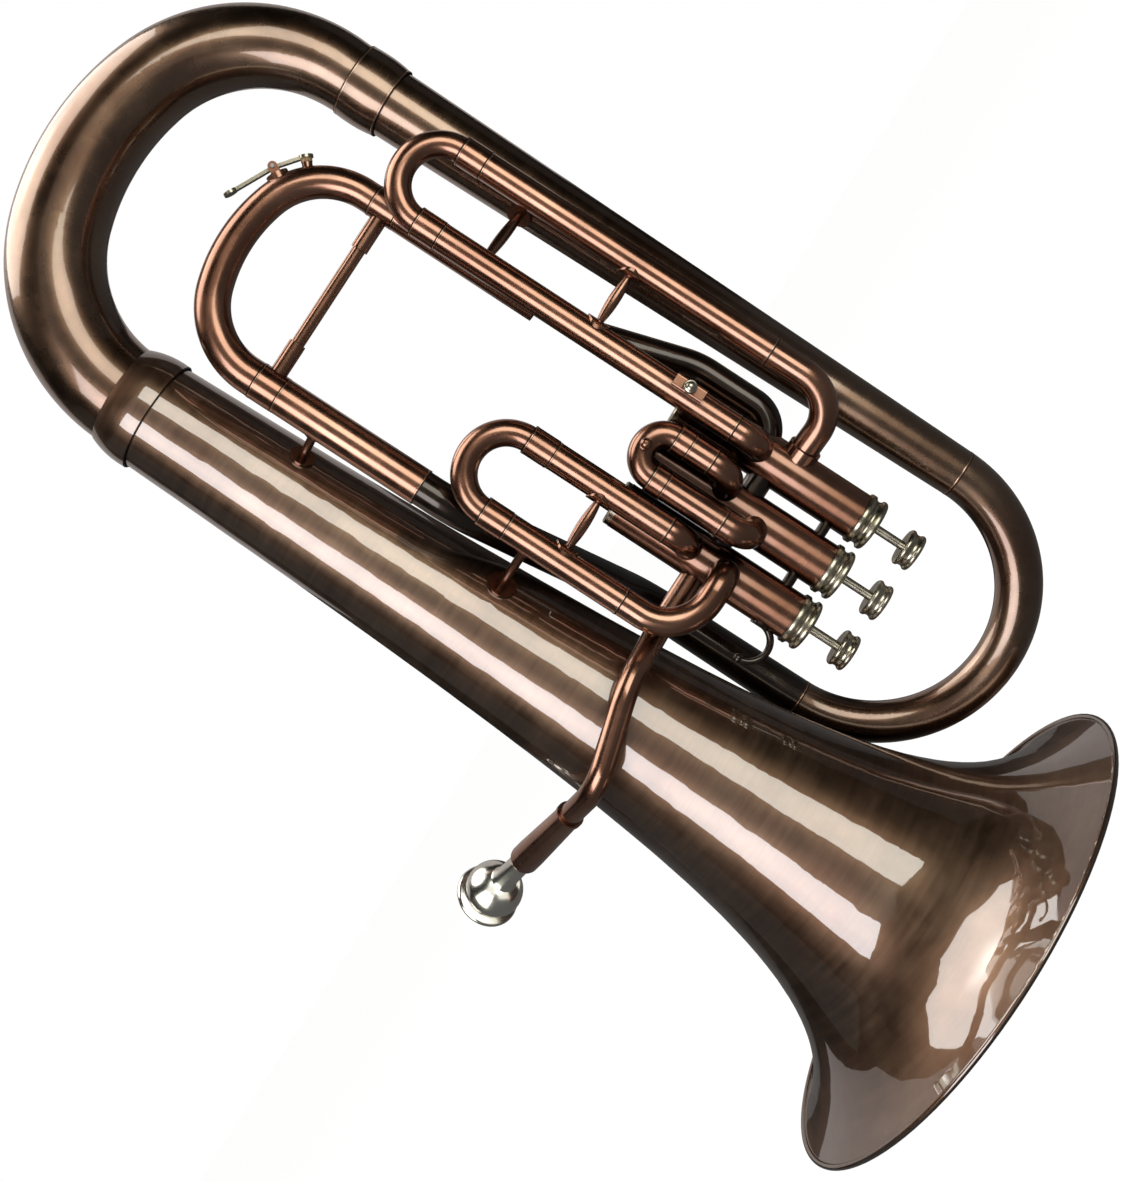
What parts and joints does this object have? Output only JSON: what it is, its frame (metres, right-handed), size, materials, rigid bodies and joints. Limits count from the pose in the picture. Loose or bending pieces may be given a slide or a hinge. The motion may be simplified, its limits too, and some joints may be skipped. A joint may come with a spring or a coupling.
{
  "type": "baritone horn",
  "caption": "Brass wind instrument with a flared bell, piston valves, pull-out tuning slides, a water key and a removable mouthpiece.",
  "frame": {"origin": "centre of the bell mouth, in the plane of its rim", "axes": "+Z along the bell's axis from the mouth to the bottom bow, +X from the bell to the outer branch, -Y the front where the valve slides lie"},
  "size_m": [0.3219, 0.2436, 0.5574],
  "materials": {
    "antique_brass": "brushed, browned and lacquered",
    "nickel_silver": "polished nickel silver",
    "silver_plate": "polished silver plate",
    "spring_steel": "drawn wire",
    "cork": "natural cork"
  },
  "bodies": {
    "horn": {"bell": "antique_brass", "bell_ferrule": "antique_brass", "bottom_bow": "antique_brass", "branch_ferrule": "antique_brass", "outer_branch": "antique_brass", "top_bow": "antique_brass", "inner_branch": "antique_brass", "main_slide_upper_outer_tube": "antique_brass", "main_slide_lower_outer_tube": "antique_brass", "first_slide_outer_tubes": "antique_brass", "second_slide_outer_tubes": "antique_brass", "third_slide_outer_tubes": "antique_brass", "first_valve_elbows": "antique_brass", "second_valve_elbows": "antique_brass", "third_valve_elbows": "antique_brass", "third_valve_outlet": "antique_brass", "leadpipe": "antique_brass", "casing_crossovers": "antique_brass", "casing_braces": "antique_brass", "top_caps": "nickel_silver", "bottom_caps": "nickel_silver", "mouthpiece_receiver": "antique_brass", "slide_braces": "antique_brass", "branch_brace": "antique_brass", "bell_posts": "antique_brass", "thumb_hook": "antique_brass", "lyre_socket": "antique_brass", "valve_1_casing": "antique_brass", "valve_1_spring": "spring_steel", "valve_2_casing": "antique_brass", "valve_2_spring": "spring_steel", "valve_3_casing": "antique_brass", "valve_3_spring": "spring_steel"},
    "valve_1": {"piston_1": "nickel_silver", "stem_1": "nickel_silver", "finger_button_1": "nickel_silver"},
    "valve_2": {"piston_2": "nickel_silver", "stem_2": "nickel_silver", "finger_button_2": "nickel_silver"},
    "valve_3": {"piston_3": "nickel_silver", "stem_3": "nickel_silver", "finger_button_3": "nickel_silver"},
    "main_slide": {"main_slide_inner_legs": "nickel_silver", "main_slide_ferrules": "antique_brass", "main_slide_bow": "antique_brass", "main_slide_brace": "antique_brass", "water_key_saddle": "antique_brass", "water_key_nipple": "antique_brass", "water_key_pin": "spring_steel"},
    "water_key": {"water_key_lever": "nickel_silver", "water_key_cork": "cork"},
    "first_slide": {"first_slide_crook": "antique_brass", "first_slide_ferrules": "antique_brass"},
    "second_slide": {"second_slide_crook": "antique_brass", "second_slide_ferrules": "antique_brass", "second_slide_knob": "nickel_silver"},
    "third_slide": {"third_slide_crook": "antique_brass", "third_slide_ferrules": "antique_brass"},
    "mouthpiece": {"mouthpiece": "silver_plate"},
    "lyre_screw": {"lyre_screw": "nickel_silver"}
  },
  "joints": [
    {"name": "valve_1_press", "type": "slide", "parent": "horn", "child": "valve_1", "axis": [0, 0, 1], "range_m": [0, 0.0135], "stiffness_N_per_m": 120, "springref_m": -0.025, "deforming": ["valve_1_spring"]},
    {"name": "valve_2_press", "type": "slide", "parent": "horn", "child": "valve_2", "axis": [0, 0, 1], "range_m": [0, 0.0135], "stiffness_N_per_m": 120, "springref_m": -0.025, "deforming": ["valve_2_spring"]},
    {"name": "valve_3_press", "type": "slide", "parent": "horn", "child": "valve_3", "axis": [0, 0, 1], "range_m": [0, 0.0135], "stiffness_N_per_m": 120, "springref_m": -0.025, "deforming": ["valve_3_spring"]},
    {"name": "main_slide_pull", "type": "slide", "parent": "horn", "child": "main_slide", "axis": [0, 0, 1], "range_m": [0, 0.04]},
    {"name": "first_slide_pull", "type": "slide", "parent": "horn", "child": "first_slide", "axis": [0, 0, 1], "range_m": [0, 0.03]},
    {"name": "second_slide_pull", "type": "slide", "parent": "horn", "child": "second_slide", "axis": [0, 0, 1], "range_m": [0, 0.005]},
    {"name": "third_slide_pull", "type": "slide", "parent": "horn", "child": "third_slide", "axis": [0, 0, 1], "range_m": [0, 0.06]},
    {"name": "water_key_lift", "type": "hinge", "parent": "main_slide", "child": "water_key", "pos_m": [0.12303, -0.0345, 0.45198], "axis": [0, -1, 0], "range_deg": [0, 12], "stiffness_Nm_per_rad": 0.03, "springref_deg": -28.65},
    {"name": "mouthpiece_pull", "type": "slide", "parent": "horn", "child": "mouthpiece", "axis": [-0.642, 0.7651, 0.0506], "range_m": [0, 0.022]},
    {"name": "lyre_screw_out", "type": "slide", "parent": "horn", "child": "lyre_screw", "axis": [0, -1, 0], "range_m": [0, 0.003]}
  ]
}
